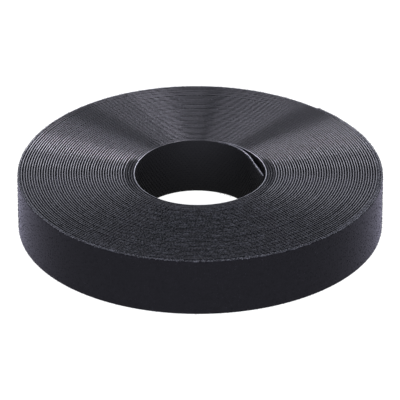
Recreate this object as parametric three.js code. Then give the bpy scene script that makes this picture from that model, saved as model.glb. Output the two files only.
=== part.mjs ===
// A coreless roll of back to back hook and loop tape, lying flat on one edge of the tape.
// Millimetres, +Z up, with the origin on the roll's axis in the plane that the roll lies on.
//
// The tape is two bonded webs: a film that carries moulded hooks, on the side of the bore, and a
// loop cloth, on the outside. Seen from above, both wind outwards anticlockwise. Each web is one
// unbroken strip in the roll. Its two free ends are cut into links, so that they can bend.

import * as THREE from 'three';

// The tape, through its thickness
const TAPE_WIDTH = 16;
const HOOK_FILM_THICKNESS = 0.35;
const WEB_GAP = 0.3;
const LOOP_CLOTH_THICKNESS = 0.4;
const TURN_GAP = 0.4;

// The winding: each loop stands for about two turns of the real tape
const BORE_RADIUS = 18.4;
const LOOPS = 22;
const STEPS_PER_LOOP = 24;
const START_AZIMUTH = 63;

// The free ends
const OUTER_LINKS = 6;
const INNER_LINKS = 3;
const LINK_GAP = 0.3;
const INNER_END_SPAN = 68;
const INNER_END_BOW = 1.5;
const INNER_END_BOW_SKEW = 1.7;
const INNER_TIP_LIFT = 0.15;

// The roll is as wide round as its loops make it
const PITCH = HOOK_FILM_THICKNESS + WEB_GAP + LOOP_CLOTH_THICKNESS + TURN_GAP;
const STEP_ANGLE = 360 / STEPS_PER_LOOP;
const OUTER_END_STEP = LOOPS * STEPS_PER_LOOP - 1;
const ROLL_STEPS = OUTER_END_STEP - OUTER_LINKS;

// Each web lies in a band, counted outwards from the tape's hook side
const HOOK_FILM = { inside: 0, thickness: HOOK_FILM_THICKNESS };
const LOOP_CLOTH = { inside: HOOK_FILM_THICKNESS + WEB_GAP, thickness: LOOP_CLOTH_THICKNESS };

const hookFilmMaterial = () =>
  new THREE.MeshStandardMaterial({ color: 0x18181b, roughness: 0.45, metalness: 0 });
const loopClothMaterial = () =>
  new THREE.MeshStandardMaterial({ color: 0x242327, roughness: 0.95, metalness: 0 });

function planPoint(azimuth, radius) {
  const angle = THREE.MathUtils.degToRad(azimuth);
  return new THREE.Vector2(radius * Math.cos(angle), radius * Math.sin(angle));
}

// The two edges of a web at one place along the tape, seen from above
function edgePair(web, azimuth, radius) {
  return {
    near: planPoint(azimuth, radius + web.inside),
    far: planPoint(azimuth, radius + web.inside + web.thickness),
  };
}

function windingStation(web, step) {
  return edgePair(web, START_AZIMUTH + step * STEP_ANGLE, BORE_RADIUS + (step / STEPS_PER_LOOP) * PITCH);
}

// The inner end goes on inwards from the first loop and bows off the wall, most past its middle
function innerEndStation(web, share) {
  const turned = share * INNER_END_SPAN;
  const bow = INNER_END_BOW * Math.sin(Math.PI * share ** INNER_END_BOW_SKEW);
  const radius = BORE_RADIUS - (turned / 360) * PITCH - bow - share * INNER_TIP_LIFT;
  return edgePair(web, START_AZIMUTH - turned, radius);
}

// A strip of web through its stations, as wide as the tape
function stripGeometry(stations) {
  const near = stations.map((station) => station.near);
  const far = stations.map((station) => station.far);
  const outline = new THREE.Shape([...near, ...far.reverse()]);
  return new THREE.ExtrudeGeometry(outline, { depth: TAPE_WIDTH, bevelEnabled: false });
}

// A link starts a gap away from the station where it hangs
function linkGeometry(root, tip) {
  const share = LINK_GAP / root.far.distanceTo(tip.far);
  const start = { near: root.near.clone().lerp(tip.near, share), far: root.far.clone().lerp(tip.far, share) };
  return stripGeometry([start, tip]);
}

function windingStations(web) {
  return Array.from({ length: ROLL_STEPS + 1 }, (_, step) => windingStation(web, step));
}

// Points along an edge of the winding, with the middles of its straight steps
function edgePoints(stations, edge) {
  return stations.flatMap((station, i) => {
    const next = stations[i + 1];
    return next ? [station[edge], station[edge].clone().lerp(next[edge], 0.5)] : [station[edge]];
  });
}

// The least distance from the outer edge of a loop to the inner edge of the loop around it
function leastGap(stations) {
  const far = edgePoints(stations, 'far');
  const near = edgePoints(stations, 'near');
  const pointsPerLoop = 2 * STEPS_PER_LOOP;
  let least = Infinity;
  for (let i = 0; i + pointsPerLoop < near.length; i += 1) {
    for (let shift = -1; shift <= 1; shift += 1) {
      const across = near[i + pointsPerLoop + shift];
      if (across) least = Math.min(least, far[i].distanceTo(across));
    }
  }
  return least;
}

const roll = new THREE.Group();

function addMesh(name, geometry, material) {
  const mesh = new THREE.Mesh(geometry, material);
  mesh.name = name;
  roll.add(mesh);
}

function addWeb(name, web, makeMaterial) {
  const wound = windingStations(web);
  addMesh(`${name}_roll`, stripGeometry(wound), makeMaterial());
  console.log(`${name}_roll: least gap to itself ${leastGap(wound).toFixed(2)} mm`);

  for (let link = 0; link < OUTER_LINKS; link += 1) {
    const root = windingStation(web, ROLL_STEPS + link);
    const tip = windingStation(web, ROLL_STEPS + link + 1);
    addMesh(`outer_end_${name}_${link + 1}`, linkGeometry(root, tip), makeMaterial());
  }

  for (let link = 0; link < INNER_LINKS; link += 1) {
    const root = innerEndStation(web, link / INNER_LINKS);
    const tip = innerEndStation(web, (link + 1) / INNER_LINKS);
    addMesh(`inner_end_${name}_${link + 1}`, linkGeometry(root, tip), makeMaterial());
  }
}

addWeb('hook_film', HOOK_FILM, hookFilmMaterial);
addWeb('loop_cloth', LOOP_CLOTH, loopClothMaterial);

export default roll;
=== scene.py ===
"""A flat coreless roll of black hook and loop tape, with its two free ends, on a pale floor."""

import math

import bmesh
import bpy
import numpy as np
from mathutils import Matrix, Vector


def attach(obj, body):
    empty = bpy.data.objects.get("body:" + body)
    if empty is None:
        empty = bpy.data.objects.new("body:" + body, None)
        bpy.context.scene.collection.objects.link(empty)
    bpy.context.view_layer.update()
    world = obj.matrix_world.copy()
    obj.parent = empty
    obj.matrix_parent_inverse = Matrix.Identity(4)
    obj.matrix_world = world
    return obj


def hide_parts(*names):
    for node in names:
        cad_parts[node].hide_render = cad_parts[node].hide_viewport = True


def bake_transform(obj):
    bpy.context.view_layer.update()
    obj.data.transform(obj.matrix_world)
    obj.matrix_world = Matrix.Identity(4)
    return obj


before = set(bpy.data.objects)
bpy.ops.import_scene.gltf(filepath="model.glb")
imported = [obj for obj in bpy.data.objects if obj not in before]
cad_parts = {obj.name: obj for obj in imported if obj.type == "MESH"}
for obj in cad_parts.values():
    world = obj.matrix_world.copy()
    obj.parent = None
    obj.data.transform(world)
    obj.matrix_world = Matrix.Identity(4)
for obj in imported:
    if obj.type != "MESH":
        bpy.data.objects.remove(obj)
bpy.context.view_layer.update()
scene = bpy.context.scene

SEED = 11
FULL_TURN = 2 * math.pi
MILLIMETRE = 0.001
rng = np.random.default_rng(SEED)

# The tape, in millimetres: along its length, across its width, and outwards through its thickness
TAPE_WIDTH = 16.15
FILM_THICKNESS = 0.28
CLOTH_THICKNESS = 0.14
CLOTH_FACE = FILM_THICKNESS + CLOTH_THICKNESS
WINDING_SEGMENT = 2.0
LINK_SEGMENT = 0.8

# The slit edges, with slopes as pairs of a share of the thickness and a depth below the edge
FILM_SLOPE = (
    (0, 0),
    (0.15, 0.0029),
    (0.35, 0.0128),
    (0.55, 0.0283),
    (0.72, 0.0456),
    (0.86, 0.0639),
    (1, 0.35),
)
CLOTH_SLOPE = ((0, 0), (0.31, 0.01), (0.59, 0.04), (0.81, 0.08), (0.95, 0.14), (1, 0.2))
EDGE_DEPTH = 0.15
EDGE_SUPPORT = 0.6
SHARP_CORNER = math.radians(20)
SAME_POINT = 0.0005
SAME_END = 0.01

# Hooks, with half widths from the foot to the crown
HOOK_HEIGHT = 0.26
FREE_HOOK_HEIGHT = 0.28
HOOK_LENGTH = 0.34
HOOK_FOOT = 0.1
HOOK_STEM = 0.07
HOOK_BROW = 0.18
HOOK_CROWN = 0.13
HOOK_NECK_SHARE = 0.5
HOOK_LIP = 0.02
HOOK_ROOT = 0.02
HOOK_PITCH = 1.05
HOOK_ROWS = 21
FIELD_MARGIN = 0.8
HOOK_ROW_PITCH = (TAPE_WIDTH - 2 * FIELD_MARGIN) / (HOOK_ROWS - 1)

# Hooks beside a slit edge
EDGE_HOOK_LENGTH = 0.42
EDGE_HOOK_CROWN = 0.2
EDGE_HOOK_PITCH = 0.84
FIRST_ROW = 0.32

# Loops of the pile, and of the fuzz in rows of an inset from the edge and a place outwards from the cloth
FIBRE_THICKNESS = 0.045
FIBRE_SIDES = 3
PILE_RADIUS = 0.17
PILE_STEPS = 4
PILE_ROOT = 0.04
PILE_PITCH = 0.84
FUZZ_RADIUS = 0.2
FUZZ_STEPS = 3
FUZZ_ROOT = 0.08
FUZZ_PITCH = 0.42
FUZZ_ROWS = ((0, -0.1), (-0.03, -0.35), (-0.05, -0.65))

# How unevenly they stand: the most turn, the most slip along and across, and the range of sizes
EDGE_HOOK_SCATTER = {"turn": 0.1, "slip": (0.2, 0.03), "size": (0.85, 1.0)}
PILE_SCATTER = {"turn": math.pi, "slip": (0.3, 0.3), "size": (0.6, 1.1)}
FUZZ_SCATTER = {"turn": math.pi, "slip": (0.15, 0.15), "size": (0.3, 1.2)}

# The winding, with waves as pairs of a rate and a phase
BORE_RADIUS = 18.05
PITCH = 0.707
TURNS = 45.9583
START_AZIMUTH = math.radians(63)
EDGE_WANDER = 0.05
EDGE_WAVES = ((0.371, 1), (1.127, 2), (2.713, 0))
TURN_WANDER = 0.03
TURN_WAVES = ((0.613, 0), (1.531, 1), (3.377, 2))

# Out of round by the cosine and sine of two and of three lobes, with the bore off centre
OVAL = (-0.38, -0.05)
LOBES = (0.19, -0.16)
BORE_SHIFT = -0.7

# The lean of slit edges near the bore: turns where it starts and stops, and its fade at the back
LEAN = 0.3
LEAN_STARTS = (0.8, 1.1)
LEAN_STOPS = (2.5, 5.5)
LEAN_FADES = (0.15, 0.6)

# The free ends, with as many links as the frame has
OUTER_LINKS = 6
OUTER_SPAN = math.radians(90)
TUCK = 0.28
TUCK_SPAN = math.radians(70)
INNER_LINKS = 3
INNER_SPAN = math.radians(70)
INNER_LENGTH = 21.6
INNER_BOW = 1.5
INNER_BOW_SKEW = 1.7
INNER_TIP_LIFT = 0.15

# How far pieces overlap
LINK_OVERLAP = 0.15


def length_at(angle):
    """Millimetres of tape from the first contact in the bore to an angle of the winding."""
    return BORE_RADIUS * angle + PITCH * angle**2 / (2 * FULL_TURN)


# Places along the tape
WOUND_ANGLE = TURNS * FULL_TURN
OUTER_RADIUS = BORE_RADIUS + PITCH * TURNS
OUTER_TIP = length_at(WOUND_ANGLE)
TUCK_START = length_at(WOUND_ANGLE - TUCK_SPAN)
OUTER_HALF_LINK = OUTER_SPAN / OUTER_LINKS / 2
OUTER_ROOT = length_at(WOUND_ANGLE - OUTER_SPAN - OUTER_HALF_LINK)
LAST_TURN = length_at(WOUND_ANGLE - OUTER_SPAN - FULL_TURN)
INNER_HALF_LINK = INNER_LENGTH / INNER_LINKS / 2
INNER_ROOT = INNER_HALF_LINK
INNER_TIP = -INNER_LENGTH
FIRST_TURN = length_at(FULL_TURN)


def smooth_step(value, low, high):
    """Rises smoothly from 0 at the low value to 1 at the high one."""
    share = np.clip((value - low) / (high - low), 0, 1)
    return share * share * (3 - 2 * share)


def wander(angle, waves):
    """The mean of some waves at angles of the winding."""
    return sum(np.sin(rate * angle + phase) for rate, phase in waves) / len(waves)


def wind(flat):
    """Places points of the flat tape on the roll, in metres."""
    along, across, outward = np.asarray(flat, float).T
    wound = np.maximum(along, 0)
    angle = (np.sqrt(BORE_RADIUS**2 + PITCH / math.pi * wound) - BORE_RADIUS) * FULL_TURN / PITCH
    radius = BORE_RADIUS + PITCH * angle / FULL_TURN
    # The inner end bows off the wall of the bore, and the outer end is pressed into the pile
    share = np.maximum(-along, 0) / INNER_LENGTH
    bow = INNER_BOW * np.sin(math.pi * share**INNER_BOW_SKEW) + INNER_TIP_LIFT * share
    angle = angle - share * INNER_SPAN
    radius = radius - share * INNER_SPAN / FULL_TURN * PITCH - bow
    radius = radius - TUCK * smooth_step(along, TUCK_START, OUTER_TIP)
    # Edges and turns wander a little
    lift = EDGE_WANDER * (1 + wander(angle, EDGE_WAVES))
    radius = radius + TURN_WANDER * wander(angle, TURN_WAVES) + outward
    # The slit edges near the bore lean and catch less light, but not at the back
    azimuth = START_AZIMUTH + angle
    turn = angle / FULL_TURN
    lean = LEAN * smooth_step(turn, *LEAN_STARTS) * (1 - smooth_step(turn, *LEAN_STOPS))
    lean = lean * (1 - smooth_step(np.sin(azimuth), *LEAN_FADES))
    lift = lift - lean * outward * (2 * across / TAPE_WIDTH - 1)
    # The whole roll has settled a little out of round, with its bore towards the front
    shift = BORE_SHIFT * (OUTER_RADIUS - radius) / (OUTER_RADIUS - BORE_RADIUS)
    radius = radius + OVAL[0] * np.cos(2 * azimuth) + OVAL[1] * np.sin(2 * azimuth)
    radius = radius + LOBES[0] * np.cos(3 * azimuth) + LOBES[1] * np.sin(3 * azimuth)
    x = radius * np.cos(azimuth)
    y = radius * np.sin(azimuth) + shift
    return np.stack([x, y, across + lift], 1) * MILLIMETRE


# Camera
PHOTO_SIZE = 400
SENSOR = 36
FOCAL_PIXELS = 4703
DISTANCE = 1.3
CLIP_END = 20
ELEVATION = math.radians(28.69)
AIM = Vector((0, 0, 0.008))
AIM_PIXEL = (198.93, 196.85)

camera = bpy.data.objects.new("camera", bpy.data.cameras.new("camera"))
scene.collection.objects.link(camera)
towards = Vector((0, -math.cos(ELEVATION), math.sin(ELEVATION)))
camera.location = AIM + towards * DISTANCE
camera.rotation_euler = towards.to_track_quat("Z", "Y").to_euler()
camera.data.sensor_width = SENSOR
camera.data.lens = FOCAL_PIXELS / PHOTO_SIZE * SENSOR
camera.data.shift_x = (PHOTO_SIZE / 2 - AIM_PIXEL[0]) / PHOTO_SIZE
camera.data.shift_y = (AIM_PIXEL[1] - PHOTO_SIZE / 2) / PHOTO_SIZE
camera.data.clip_end = CLIP_END
scene.camera = camera

# Sockets of a node that mixes colours
MIX_FACTOR = 0
MIX_COLOUR_A = 6
MIX_COLOUR_B = 7
MIX_COLOUR_OUT = 2


# Material nodes
def feed(tree, made, inputs):
    """Sets the inputs of a node, or links them where the value is a socket."""
    for key, value in inputs.items():
        if isinstance(value, bpy.types.NodeSocket):
            tree.links.new(value, made.inputs[key])
        else:
            made.inputs[key].default_value = value


def node(tree, kind, inputs, **settings):
    """Adds a node, sets or links its inputs, and returns it."""
    made = tree.nodes.new(f"ShaderNode{kind}")
    for name, value in settings.items():
        setattr(made, name, value)
    feed(tree, made, inputs)
    return made


def math_node(tree, operation, a, b):
    return node(tree, "Math", {0: a, 1: b}, operation=operation).outputs[0]


def ramp(tree, value, low, high, out_low=0.0, out_high=1.0):
    """Carries a value smoothly from one range over to another."""
    ranges = {"From Min": low, "From Max": high, "To Min": out_low, "To Max": out_high}
    made = node(tree, "MapRange", {"Value": value, **ranges}, clamp=True)
    made.interpolation_type = "SMOOTHSTEP"
    return made.outputs[0]


def mix_colours(tree, share, a, b):
    inputs = {MIX_FACTOR: share, MIX_COLOUR_A: a, MIX_COLOUR_B: b}
    return node(tree, "Mix", inputs, data_type="RGBA").outputs[MIX_COLOUR_OUT]


def tape_place(tree):
    """Millimetres along and across the tape."""
    place = node(tree, "UVMap", {}, uv_map="tape")
    split = node(tree, "SeparateXYZ", {0: place.outputs[0]})
    return split.outputs[0], split.outputs[1]


def new_material(name):
    material = bpy.data.materials.new(name)
    material.use_nodes = True
    tree = material.node_tree
    return material, tree, tree.nodes["Principled BSDF"]


# Streaks of the tape, as waves to the millimetre along and across it
FINE_STREAKS = (0.35, 7.0)
FINE_DETAIL = 4.0
FINE_ROUGHNESS = 0.6
FINE_RANGE = (0.3, 0.7)
SLOW_STREAKS = (0.02, 0.05)
SLOW_DETAIL = 2.0
SLOW_ROUGHNESS = 0.5


def tape_noise(tree, waves, detail, roughness):
    """Noise that is drawn out along the flat tape."""
    scaled = [math_node(tree, "MULTIPLY", at, rate) for at, rate in zip(tape_place(tree), waves)]
    place = node(tree, "CombineXYZ", dict(enumerate(scaled))).outputs[0]
    inputs = {"Vector": place, "Scale": 1.0, "Detail": detail, "Roughness": roughness}
    return node(tree, "TexNoise", inputs).outputs[0]


def make_streak_group():
    """Fine streaks along the tape and slow changes from turn to turn."""
    tree = bpy.data.node_groups.new("tape_streaks", "ShaderNodeTree")
    tree.interface.new_socket("Fine", in_out="OUTPUT", socket_type="NodeSocketFloat")
    tree.interface.new_socket("Slow", in_out="OUTPUT", socket_type="NodeSocketFloat")
    fine = tape_noise(tree, FINE_STREAKS, FINE_DETAIL, FINE_ROUGHNESS)
    slow = tape_noise(tree, SLOW_STREAKS, SLOW_DETAIL, SLOW_ROUGHNESS)
    out = tree.nodes.new("NodeGroupOutput")
    tree.links.new(fine, out.inputs["Fine"])
    tree.links.new(slow, out.inputs["Slow"])
    return tree


streak_group = make_streak_group()


def tape_streaks(tree):
    """The fine and the slow streaks, for one material."""
    made = tree.nodes.new("ShaderNodeGroup")
    made.node_tree = streak_group
    return made.outputs["Fine"], made.outputs["Slow"]


# Film, hooks and the film's slit edge
FILM_DARK = (0.0025, 0.0025, 0.0029, 1)
FILM_LIGHT = (0.005, 0.0049, 0.0058, 1)
HOOK_DARK = (0.003, 0.003, 0.0036, 1)
HOOK_LIGHT = (0.006, 0.0059, 0.007, 1)
FILM_ROUGHNESS = (0.6, 0.8)
FILM_GLOSS = 0.12
DIE_LINE_STRENGTH = 0.25
DIE_LINE_DEPTH = 0.00004
SLIT_DARK = (0.004, 0.004, 0.005, 1)
SLIT_LIGHT = (0.008, 0.0078, 0.0096, 1)
# A pale colour for the slit edge beside the bore and on the inner end: a painted highlight
SLIT_PAINTED_HIGHLIGHT = (0.1, 0.1, 0.11, 1)
SLIT_TINT = (1.0, 0.96, 1.0, 1)
SLIT_ROUGHNESS = (0.08, 0.14)
SLIT_IOR = 1.5

# Along the tape, the slit edge carries a pale painted highlight on the inner end and on the first turn,
# but for that turn's start
DARK_FROM = (-1.0, 1.0)
PAINTED_HIGHLIGHT_FROM = (18.0, 28.0)
COVERED_FROM = (FIRST_TURN - 2, FIRST_TURN + 2)


def make_film(name, dark, light):
    """Moulded black film or hooks: matt, with die lines along the tape."""
    material, tree, shader = new_material(name)
    fine, slow = tape_streaks(tree)
    lines = {"Height": fine, "Strength": DIE_LINE_STRENGTH, "Distance": DIE_LINE_DEPTH}
    feed(tree, shader, {
        "Base Color": mix_colours(tree, slow, dark, light),
        "Roughness": ramp(tree, fine, *FINE_RANGE, *FILM_ROUGHNESS),
        "Normal": node(tree, "Bump", lines).outputs[0],
        "Specular IOR Level": FILM_GLOSS,
    })
    return material


def make_slit_edge():
    """The cut edge of the film: smooth and shiny, with a faint violet cast, and a pale painted highlight
    round the bore.
    """
    material, tree, shader = new_material("slit_edge")
    fine, slow = tape_streaks(tree)
    along, _ = tape_place(tree)
    bound = ramp(tree, along, *DARK_FROM)
    bound = math_node(tree, "SUBTRACT", bound, ramp(tree, along, *PAINTED_HIGHLIGHT_FROM))
    bound = math_node(tree, "ADD", bound, ramp(tree, along, *COVERED_FROM))
    # Painted highlight: where the edge is free, beside the bore and on the inner end, its colour is mixed
    # to the pale one
    free = math_node(tree, "SUBTRACT", 1.0, bound)
    colour = mix_colours(tree, slow, SLIT_DARK, SLIT_LIGHT)
    feed(tree, shader, {
        "Base Color": mix_colours(tree, free, colour, SLIT_PAINTED_HIGHLIGHT),
        "Roughness": ramp(tree, fine, *FINE_RANGE, *SLIT_ROUGHNESS),
        "IOR": SLIT_IOR,
        "Specular Tint": SLIT_TINT,
    })
    return material


# Cloth, its pile, its slit edge and its fuzz
CLOTH_DARK = (0.0025, 0.0024, 0.0031, 1)
CLOTH_LIGHT = (0.0043, 0.0042, 0.0053, 1)
NAP_DARK = (0.002, 0.0021, 0.003, 1)
NAP_LIGHT = (0.04, 0.041, 0.048, 1)
# The fuzz is black fibre like the cloth; its pale colours are a painted highlight of the light it catches
FUZZ_PAINTED_HIGHLIGHT_DIM = (0.012, 0.012, 0.014, 1)
FUZZ_PAINTED_HIGHLIGHT_BRIGHT = (0.17, 0.172, 0.19, 1)
CLOTH_FLECKS = (0.6, 1.4)
NAP_FLECKS = (0.95, 1.35)
NAP_SCALE = 1400.0
NAP_DETAIL = 4.0
KNIT_SCALE = 2200.0
NAP_STRENGTH = 0.3
NAP_DEPTH = 0.0001
CLOTH_ROUGHNESS = 0.9
SHEEN_ROUGHNESS = 0.35
SHEEN_TINT = (0.86, 0.82, 1.0, 1)


def make_cloth(name, dark, light, sheen, gloss, flecks=CLOTH_FLECKS):
    """Black brushed loop cloth: matt, with a faint cool sheen and a mottled nap."""
    material, tree, shader = new_material(name)
    place = node(tree, "TexCoord", {}).outputs["Object"]
    nap = node(tree, "TexNoise", {"Vector": place, "Scale": NAP_SCALE, "Detail": NAP_DETAIL}).outputs[0]
    knit = node(tree, "TexVoronoi", {"Vector": place, "Scale": KNIT_SCALE}).outputs["Distance"]
    fine, _ = tape_streaks(tree)
    mottling = ramp(tree, math_node(tree, "ADD", nap, fine), *flecks)
    height = math_node(tree, "ADD", nap, knit)
    bump = node(tree, "Bump", {"Height": height, "Strength": NAP_STRENGTH, "Distance": NAP_DEPTH})
    feed(tree, shader, {
        "Base Color": mix_colours(tree, mottling, dark, light),
        "Roughness": CLOTH_ROUGHNESS,
        "Normal": bump.outputs[0],
        "Specular IOR Level": gloss,
        "Sheen Weight": sheen,
        "Sheen Roughness": SHEEN_ROUGHNESS,
        "Sheen Tint": SHEEN_TINT,
    })
    return material


film_material = make_film("hook_film", FILM_DARK, FILM_LIGHT)
hook_material = make_film("hooks", HOOK_DARK, HOOK_LIGHT)
edge_material = make_slit_edge()
cloth_material = make_cloth("loop_cloth", CLOTH_DARK, CLOTH_LIGHT, sheen=0.22, gloss=0.08)
pile_material = make_cloth("loop_pile", CLOTH_DARK, CLOTH_LIGHT, sheen=0.08, gloss=0.0)
nap_material = make_cloth("cloth_edge", NAP_DARK, NAP_LIGHT, sheen=0.0, gloss=0.0, flecks=NAP_FLECKS)
# Pale fuzz: a painted highlight on the black fibres along the slit edges
painted_highlight_fuzz_material = make_cloth("cloth_fuzz_painted_highlight", FUZZ_PAINTED_HIGHLIGHT_DIM, FUZZ_PAINTED_HIGHLIGHT_BRIGHT, sheen=0.1, gloss=0.2)


# Flat forms, which are wound afterwards
def web_section(inside, thickness, open_side, slope):
    """A web's outline across the tape, as pairs of across and outward.

    Each slit edge falls away towards the open side: -1 is the bore side, 1 is the outside.
    """
    bonded = inside + thickness if open_side < 0 else inside
    low_edge = [(depth, bonded + open_side * share * thickness) for share, depth in slope]
    low_edge.append((EDGE_SUPPORT, low_edge[-1][1]))
    high_edge = [(TAPE_WIDTH - across, outward) for across, outward in reversed(low_edge)]
    return low_edge + high_edge


FILM_SECTION = web_section(0, FILM_THICKNESS, -1, FILM_SLOPE)
CLOTH_SECTION = web_section(FILM_THICKNESS, CLOTH_THICKNESS, 1, CLOTH_SLOPE)


def as_mesh(bm):
    mesh = bpy.data.meshes.new("flat")
    bm.to_mesh(mesh)
    bm.free()
    return mesh


def strip(section, start, end, segment, cut_at):
    """A web of the flat tape between two places along it. Where the tape is cut, that end is closed."""
    count = math.ceil((end - start) / segment)
    sides = len(section)
    bm = bmesh.new()
    bmesh.ops.create_grid(bm, x_segments=count, y_segments=sides, size=1)
    for vert in bm.verts:
        across, outward = section[round((vert.co.y + 1) / 2 * sides) % sides]
        vert.co = (start + (vert.co.x + 1) / 2 * (end - start), across, outward)
    bmesh.ops.remove_doubles(bm, verts=bm.verts, dist=SAME_POINT)
    for face in bm.faces:
        middle = face.calc_center_median().y
        face.smooth = True
        face.material_index = int(min(middle, TAPE_WIDTH - middle) < EDGE_DEPTH)
    for edge in bm.edges:
        edge.smooth = edge.is_boundary or edge.calc_face_angle() < SHARP_CORNER
    if cut_at is not None:
        rim = [e for e in bm.edges if e.is_boundary and abs(e.verts[0].co.x - cut_at) < SAME_END]
        for face in bmesh.ops.contextual_create(bm, geom=rim)["faces"]:
            face.material_index = 0
    bmesh.ops.recalc_face_normals(bm, faces=bm.faces)
    return as_mesh(bm)


def cut_profile(half, length):
    """A rail cut to length along the tape. Half of its outline is pairs of across and outward."""
    profile = [(-across, outward) for across, outward in half] + list(reversed(half))
    bm = bmesh.new()
    ring = [bm.verts.new((-length / 2, across, outward)) for across, outward in profile]
    face = bm.faces.new(ring)
    made = bmesh.ops.extrude_face_region(bm, geom=[face], use_keep_orig=True)
    moved = [g for g in made["geom"] if isinstance(g, bmesh.types.BMVert)]
    bmesh.ops.translate(bm, vec=(length, 0, 0), verts=moved)
    bmesh.ops.recalc_face_normals(bm, faces=bm.faces)
    return as_mesh(bm)


def hook(height):
    """One moulded hook: a stem with a head that overhangs on both sides."""
    neck = height * HOOK_NECK_SHARE
    half = (
        (HOOK_FOOT, HOOK_ROOT),
        (HOOK_STEM, -neck),
        (HOOK_BROW, -neck - HOOK_LIP),
        (HOOK_CROWN, -height),
    )
    return cut_profile(half, HOOK_LENGTH)


def edge_hook():
    """A hook beside a slit edge: a flared stem whose overhang the slit took away."""
    half = ((HOOK_FOOT, HOOK_ROOT), (EDGE_HOOK_CROWN, -HOOK_HEIGHT))
    return cut_profile(half, EDGE_HOOK_LENGTH)


def fibre_loop(radius, steps):
    """A thin fibre bent to half a ring that stands on the tape."""
    bm = bmesh.new()
    ring = []
    for i in range(FIBRE_SIDES):
        turn = FULL_TURN * i / FIBRE_SIDES
        place = (radius + FIBRE_THICKNESS * math.cos(turn), FIBRE_THICKNESS * math.sin(turn), 0)
        ring.append(bm.verts.new(place))
    edges = [bm.edges.new(pair) for pair in zip(ring, ring[1:] + ring[:1])]
    bmesh.ops.spin(bm, geom=edges, axis=(0, -1, 0), angle=math.pi, steps=steps)
    for face in bm.faces:
        face.smooth = True
    bmesh.ops.recalc_face_normals(bm, faces=bm.faces)
    return as_mesh(bm)


def points_of(mesh):
    flat = np.empty(len(mesh.vertices) * 3, np.float32)
    mesh.vertices.foreach_get("co", flat)
    return flat.reshape(-1, 3).astype(float)


def move_points(mesh, points):
    mesh.vertices.foreach_set("co", points.astype(np.float32).ravel())


def repeated(mesh, origin, along, across=(1, 0)):
    """A flat shape repeated from an origin. Along and across are pairs of a count and a step."""
    holder = bpy.data.objects.new("one", mesh)
    scene.collection.objects.link(holder)
    for axis, (count, step) in enumerate((along, across)):
        row = holder.modifiers.new("row", "ARRAY")
        row.count = count
        row.use_relative_offset = False
        row.use_constant_offset = True
        row.constant_offset_displace = (step, 0, 0) if axis == 0 else (0, step, 0)
    graph = bpy.context.evaluated_depsgraph_get()
    made = bpy.data.meshes.new_from_object(holder.evaluated_get(graph))
    bpy.data.objects.remove(holder)
    move_points(made, points_of(made) + np.array(origin))
    return made


def scattered(mesh, each, turn, slip, size):
    """Turns, slips and scales each copy of a repeated shape at random. Each copy has so many points."""
    points = points_of(mesh).reshape(-1, each, 3)
    count = len(points)
    foot = points.mean(axis=1, keepdims=True)
    foot[:, :, 2] = points[:, :, 2].min(axis=1, keepdims=True)
    local = (points - foot) * rng.uniform(*size, (count, 1, 1))
    spin = rng.uniform(-turn, turn, (count, 1))
    cos, sin = np.cos(spin), np.sin(spin)
    x = local[:, :, 0] * cos - local[:, :, 1] * sin
    y = local[:, :, 0] * sin + local[:, :, 1] * cos
    local = np.stack([x, y, local[:, :, 2]], 2)
    shift = rng.uniform(-1, 1, (count, 1, 3)) * np.array([*slip, 0])
    move_points(mesh, (foot + local + shift).reshape(-1, 3))
    return mesh


# Wound pieces
def wound_object(name, mesh, *materials):
    """A flat mesh wound onto the roll, with its flat place kept as its UV map."""
    flat = points_of(mesh)
    corners = np.empty(len(mesh.loops), np.int32)
    mesh.loops.foreach_get("vertex_index", corners)
    layer = mesh.uv_layers.new(name="tape")
    layer.uv.foreach_set("vector", flat[corners, :2].astype(np.float32).ravel())
    move_points(mesh, wind(flat))
    for material in materials:
        mesh.materials.append(material)
    mesh.update()
    made = bpy.data.objects.new(name, mesh)
    mesh.name = name
    scene.collection.objects.link(made)
    return made


def join(name, objects):
    """Joins wound objects into the first one, each with its own materials."""
    first = objects[0]
    bm = bmesh.new()
    bm.from_mesh(first.data)
    for other in objects[1:]:
        shift = len(first.data.materials)
        before = len(bm.faces)
        bm.from_mesh(other.data)
        bm.faces.ensure_lookup_table()
        for face in bm.faces[before:]:
            face.material_index += shift
        for material in other.data.materials:
            first.data.materials.append(material)
        bpy.data.objects.remove(other)
    bm.to_mesh(first.data)
    bm.free()
    first.name = name
    return first


def film_strip(name, start, end, segment, cut_at=None):
    web = strip(FILM_SECTION, start, end, segment, cut_at)
    return wound_object(name, web, film_material, edge_material)


def cloth_strip(name, start, end, segment, cut_at=None):
    web = strip(CLOTH_SECTION, start, end, segment, cut_at)
    return wound_object(name, web, cloth_material, nap_material)


def hook_field(name, start, end, height):
    """All rows of hooks on one stretch of the tape. Every other row stands half a pitch on."""
    count = max(1, int((end - start) / HOOK_PITCH))
    origin = (start + HOOK_PITCH / 4, FIELD_MARGIN, 0)
    field = repeated(hook(height), origin, (count, HOOK_PITCH), (HOOK_ROWS, HOOK_ROW_PITCH))
    points = points_of(field)
    row = np.round((points[:, 1] - FIELD_MARGIN) / HOOK_ROW_PITCH)
    points[:, 0] += HOOK_PITCH / 2 * (row % 2)
    move_points(field, points)
    return wound_object(name, field, film_material)


def edge_hook_row(name, across):
    """One row of hooks beside a slit edge of the winding."""
    count = int((OUTER_ROOT - FIRST_TURN) / EDGE_HOOK_PITCH)
    one = edge_hook()
    row = repeated(one, (FIRST_TURN, across, 0), (count, EDGE_HOOK_PITCH))
    row = scattered(row, len(one.vertices), **EDGE_HOOK_SCATTER)
    return wound_object(name, row, hook_material)


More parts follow.
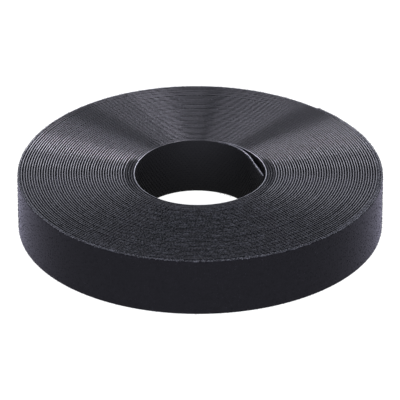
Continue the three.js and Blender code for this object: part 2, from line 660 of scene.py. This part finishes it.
def pile_field(name, start, end):
    """Brushed loops on the cloth of one stretch of the tape."""
    count = max(1, int((end - start) / PILE_PITCH))
    rows = int(TAPE_WIDTH / PILE_PITCH)
    margin = (TAPE_WIDTH - (rows - 1) * PILE_PITCH) / 2
    origin = (start + PILE_PITCH / 2, margin, CLOTH_FACE - PILE_ROOT)
    one = fibre_loop(PILE_RADIUS, PILE_STEPS)
    field = repeated(one, origin, (count, PILE_PITCH), (rows, PILE_PITCH))
    field = scattered(field, len(one.vertices), **PILE_SCATTER)
    return wound_object(name, field, pile_material)


def fuzz_field(name, start, end):
    """Small loops that stand out along both slit edges of the cloth, coloured pale as a painted
    highlight.
    """
    count = max(1, int((end - start) / FUZZ_PITCH))
    one = fibre_loop(FUZZ_RADIUS, FUZZ_STEPS)
    rows = []
    for inset, outward in FUZZ_ROWS:
        for across in (inset, TAPE_WIDTH - inset):
            origin = (start + FUZZ_PITCH / 2, across, CLOTH_FACE - FUZZ_ROOT + outward)
            row = repeated(one, origin, (count, FUZZ_PITCH))
            row = scattered(row, len(one.vertices), **FUZZ_SCATTER)
            rows.append(wound_object(name, row, painted_highlight_fuzz_material))
    return join(name, rows)


def on_roll(piece, slot, *nodes):
    if nodes:
        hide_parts(*nodes)
    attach(piece, "roll")


# The winding
film = film_strip("hook_film_winding", INNER_ROOT, OUTER_ROOT, WINDING_SEGMENT)
on_roll(film, "hook_film", "hook_film_roll")
cloth = cloth_strip("loop_cloth_winding", INNER_ROOT, OUTER_ROOT, WINDING_SEGMENT)
on_roll(cloth, "loop_cloth", "loop_cloth_roll")

# Hooks along both edges of the winding, and all of them on the turn that shows in the bore
on_roll(edge_hook_row("hook_row_low", FIRST_ROW), "hook_film")
on_roll(edge_hook_row("hook_row_high", TAPE_WIDTH - FIRST_ROW), "hook_film")
on_roll(hook_field("bore_hooks", INNER_ROOT, FIRST_TURN, FREE_HOOK_HEIGHT), "hook_film")

# Loops on the turn that shows outside
on_roll(pile_field("outer_pile", LAST_TURN, OUTER_ROOT), "loop_cloth")
on_roll(fuzz_field("outer_fuzz", LAST_TURN, OUTER_ROOT), "loop_cloth")


# Free ends
def link_middle(end, link):
    """How far along the tape the middle of a link lies. Link 0 is the stretch of roll before the end."""
    if end == "outer":
        return length_at(WOUND_ANGLE - OUTER_SPAN + (2 * link - 1) * OUTER_HALF_LINK)
    return -(2 * link - 1) * INNER_HALF_LINK


# Each piece reaches over one hinge, and meets the next piece at the middle of a link
for end, links, end_tip in (("outer", OUTER_LINKS, OUTER_TIP), ("inner", INNER_LINKS, INNER_TIP)):
    hook_height = HOOK_HEIGHT if end == "outer" else FREE_HOOK_HEIGHT
    for link in range(1, links + 1):
        root, middle = link_middle(end, link - 1), link_middle(end, link)
        cut = end_tip if link == links else None
        overlap = math.copysign(LINK_OVERLAP, middle - root)
        low, high = sorted((root - overlap, middle + overlap if cut is None else cut))
        film_web = film_strip("web", low, high, LINK_SEGMENT, cut)
        hooks = hook_field("hooks", low, high, hook_height)
        film_link = join(f"{end}_end_hook_film_{link}_web", [film_web, hooks])
        cloth_web = cloth_strip("web", low, high, LINK_SEGMENT, cut)
        pile = pile_field("pile", low, high)
        fuzz = fuzz_field("fuzz", low, high)
        cloth_link = join(f"{end}_end_loop_cloth_{link}_web", [cloth_web, pile, fuzz])
        for piece, slot in ((film_link, "hook_film"), (cloth_link, "loop_cloth")):
            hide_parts(f"{end}_end_{slot}_{link}")
            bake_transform(piece)

# Floor
FLOOR_REACH = 3
FLOOR_CELLS = 8
FLOOR_GREY = (0.1, 0.1, 0.1, 1)
FLOOR_ROUGHNESS = 0.9
FLOOR_GLOW = (1, 1, 1, 1)
FLOOR_GLOW_STRENGTH = 1.0

bm = bmesh.new()
bmesh.ops.create_grid(bm, x_segments=FLOOR_CELLS, y_segments=FLOOR_CELLS, size=FLOOR_REACH)
floor_mesh = as_mesh(bm)
floor = bpy.data.objects.new("floor", floor_mesh)
scene.collection.objects.link(floor)
floor_material, floor_tree, floor_shader = new_material("floor")
feed(floor_tree, floor_shader, {
    "Base Color": FLOOR_GREY,
    "Roughness": FLOOR_ROUGHNESS,
    "Emission Color": FLOOR_GLOW,
    "Emission Strength": FLOOR_GLOW_STRENGTH,
})
floor_mesh.materials.append(floor_material)

# Light
LAMP_DISTANCE = 1.2
STRIP_WIDTH = 0.13
EDGE_TILT = math.radians(17.5)
COOL = (0.87, 0.875, 1.0)
BEHIND_END = Vector((0.09, 0.934, 0.353))
BEHIND_WIDTH = 0.1
BEHIND_POWER = 0.12
FILL_END = Vector((0.4, -0.96, 0.28))
FILL_DISTANCE = 1.5
FILL_WIDTH = 0.7
FILL_POWER = 46
ROOM_COLOUR = (0.86, 0.9, 1.0, 1)
ROOM_STRENGTH = 0.78

# A chain of strips on each side behind the roll, from high up in the middle to low at the side. Each has
# the azimuths of the edges that it lights, from and to, and its power on the left and on the right.
BACK_LAMPS = (
    (86, 99, 0.03, 0.42),
    (99, 112, 0.6, 1.15),
    (112, 125, 0.82, 0.72),
    (125, 138, 0.23, 0.22),
    (138, 151, 1.35, 0.85),
    (151, 164, 1.25, 1.75),
    (164, 177, 0.6, 0.74),
    (177, 190, 0.29, 0.33),
    (190, 203, 0.22, 0.18),
    (203, 215, 0.14, 0.08),
    (215, 224, 0.08, 0.05),
)


def on_side(direction, side):
    """A direction as it is, for side 1, or its mirror image across the middle, for side -1."""
    return Vector((side * direction.x, direction.y, direction.z))


def mirror_direction(azimuth):
    """Where light comes from that the slit edge at this azimuth sends to the camera."""
    outwards = Vector((math.cos(azimuth), math.sin(azimuth), 0))
    normal = Vector((0, 0, math.cos(EDGE_TILT))) - outwards * math.sin(EDGE_TILT)
    return 2 * normal.dot(towards) * normal - towards


def softbox(name, start, end, distance, width, power):
    """A soft lamp that reaches from one direction to another and faces the roll."""
    back = (start + end).normalized()
    along = end - start
    along -= back * along.dot(back)
    data = bpy.data.lights.new(name, "AREA")
    data.shape = "RECTANGLE"
    data.size = along.length * distance
    data.size_y = width
    data.energy = power
    data.color = COOL
    made = bpy.data.objects.new(name, data)
    scene.collection.objects.link(made)
    along.normalize()
    made.location = back * distance
    made.rotation_euler = Matrix((along, back.cross(along), back)).transposed().to_euler()


for low, high, *powers in BACK_LAMPS:
    for side, power in zip((-1, 1), powers):
        ends = [on_side(mirror_direction(math.radians(azimuth)), side) for azimuth in (low, high)]
        softbox(f"strip_{low}", *ends, LAMP_DISTANCE, STRIP_WIDTH, power)
softbox("behind", on_side(BEHIND_END, -1), BEHIND_END, LAMP_DISTANCE, BEHIND_WIDTH, BEHIND_POWER)
softbox("fill", on_side(FILL_END, -1), FILL_END, FILL_DISTANCE, FILL_WIDTH, FILL_POWER)

world = bpy.data.worlds.new("studio")
world.use_nodes = True
background = world.node_tree.nodes["Background"]
feed(world.node_tree, background, {"Color": ROOM_COLOUR, "Strength": ROOM_STRENGTH})
scene.world = world
scene.view_settings.view_transform = "Standard"

bpy.context.view_layer.update()
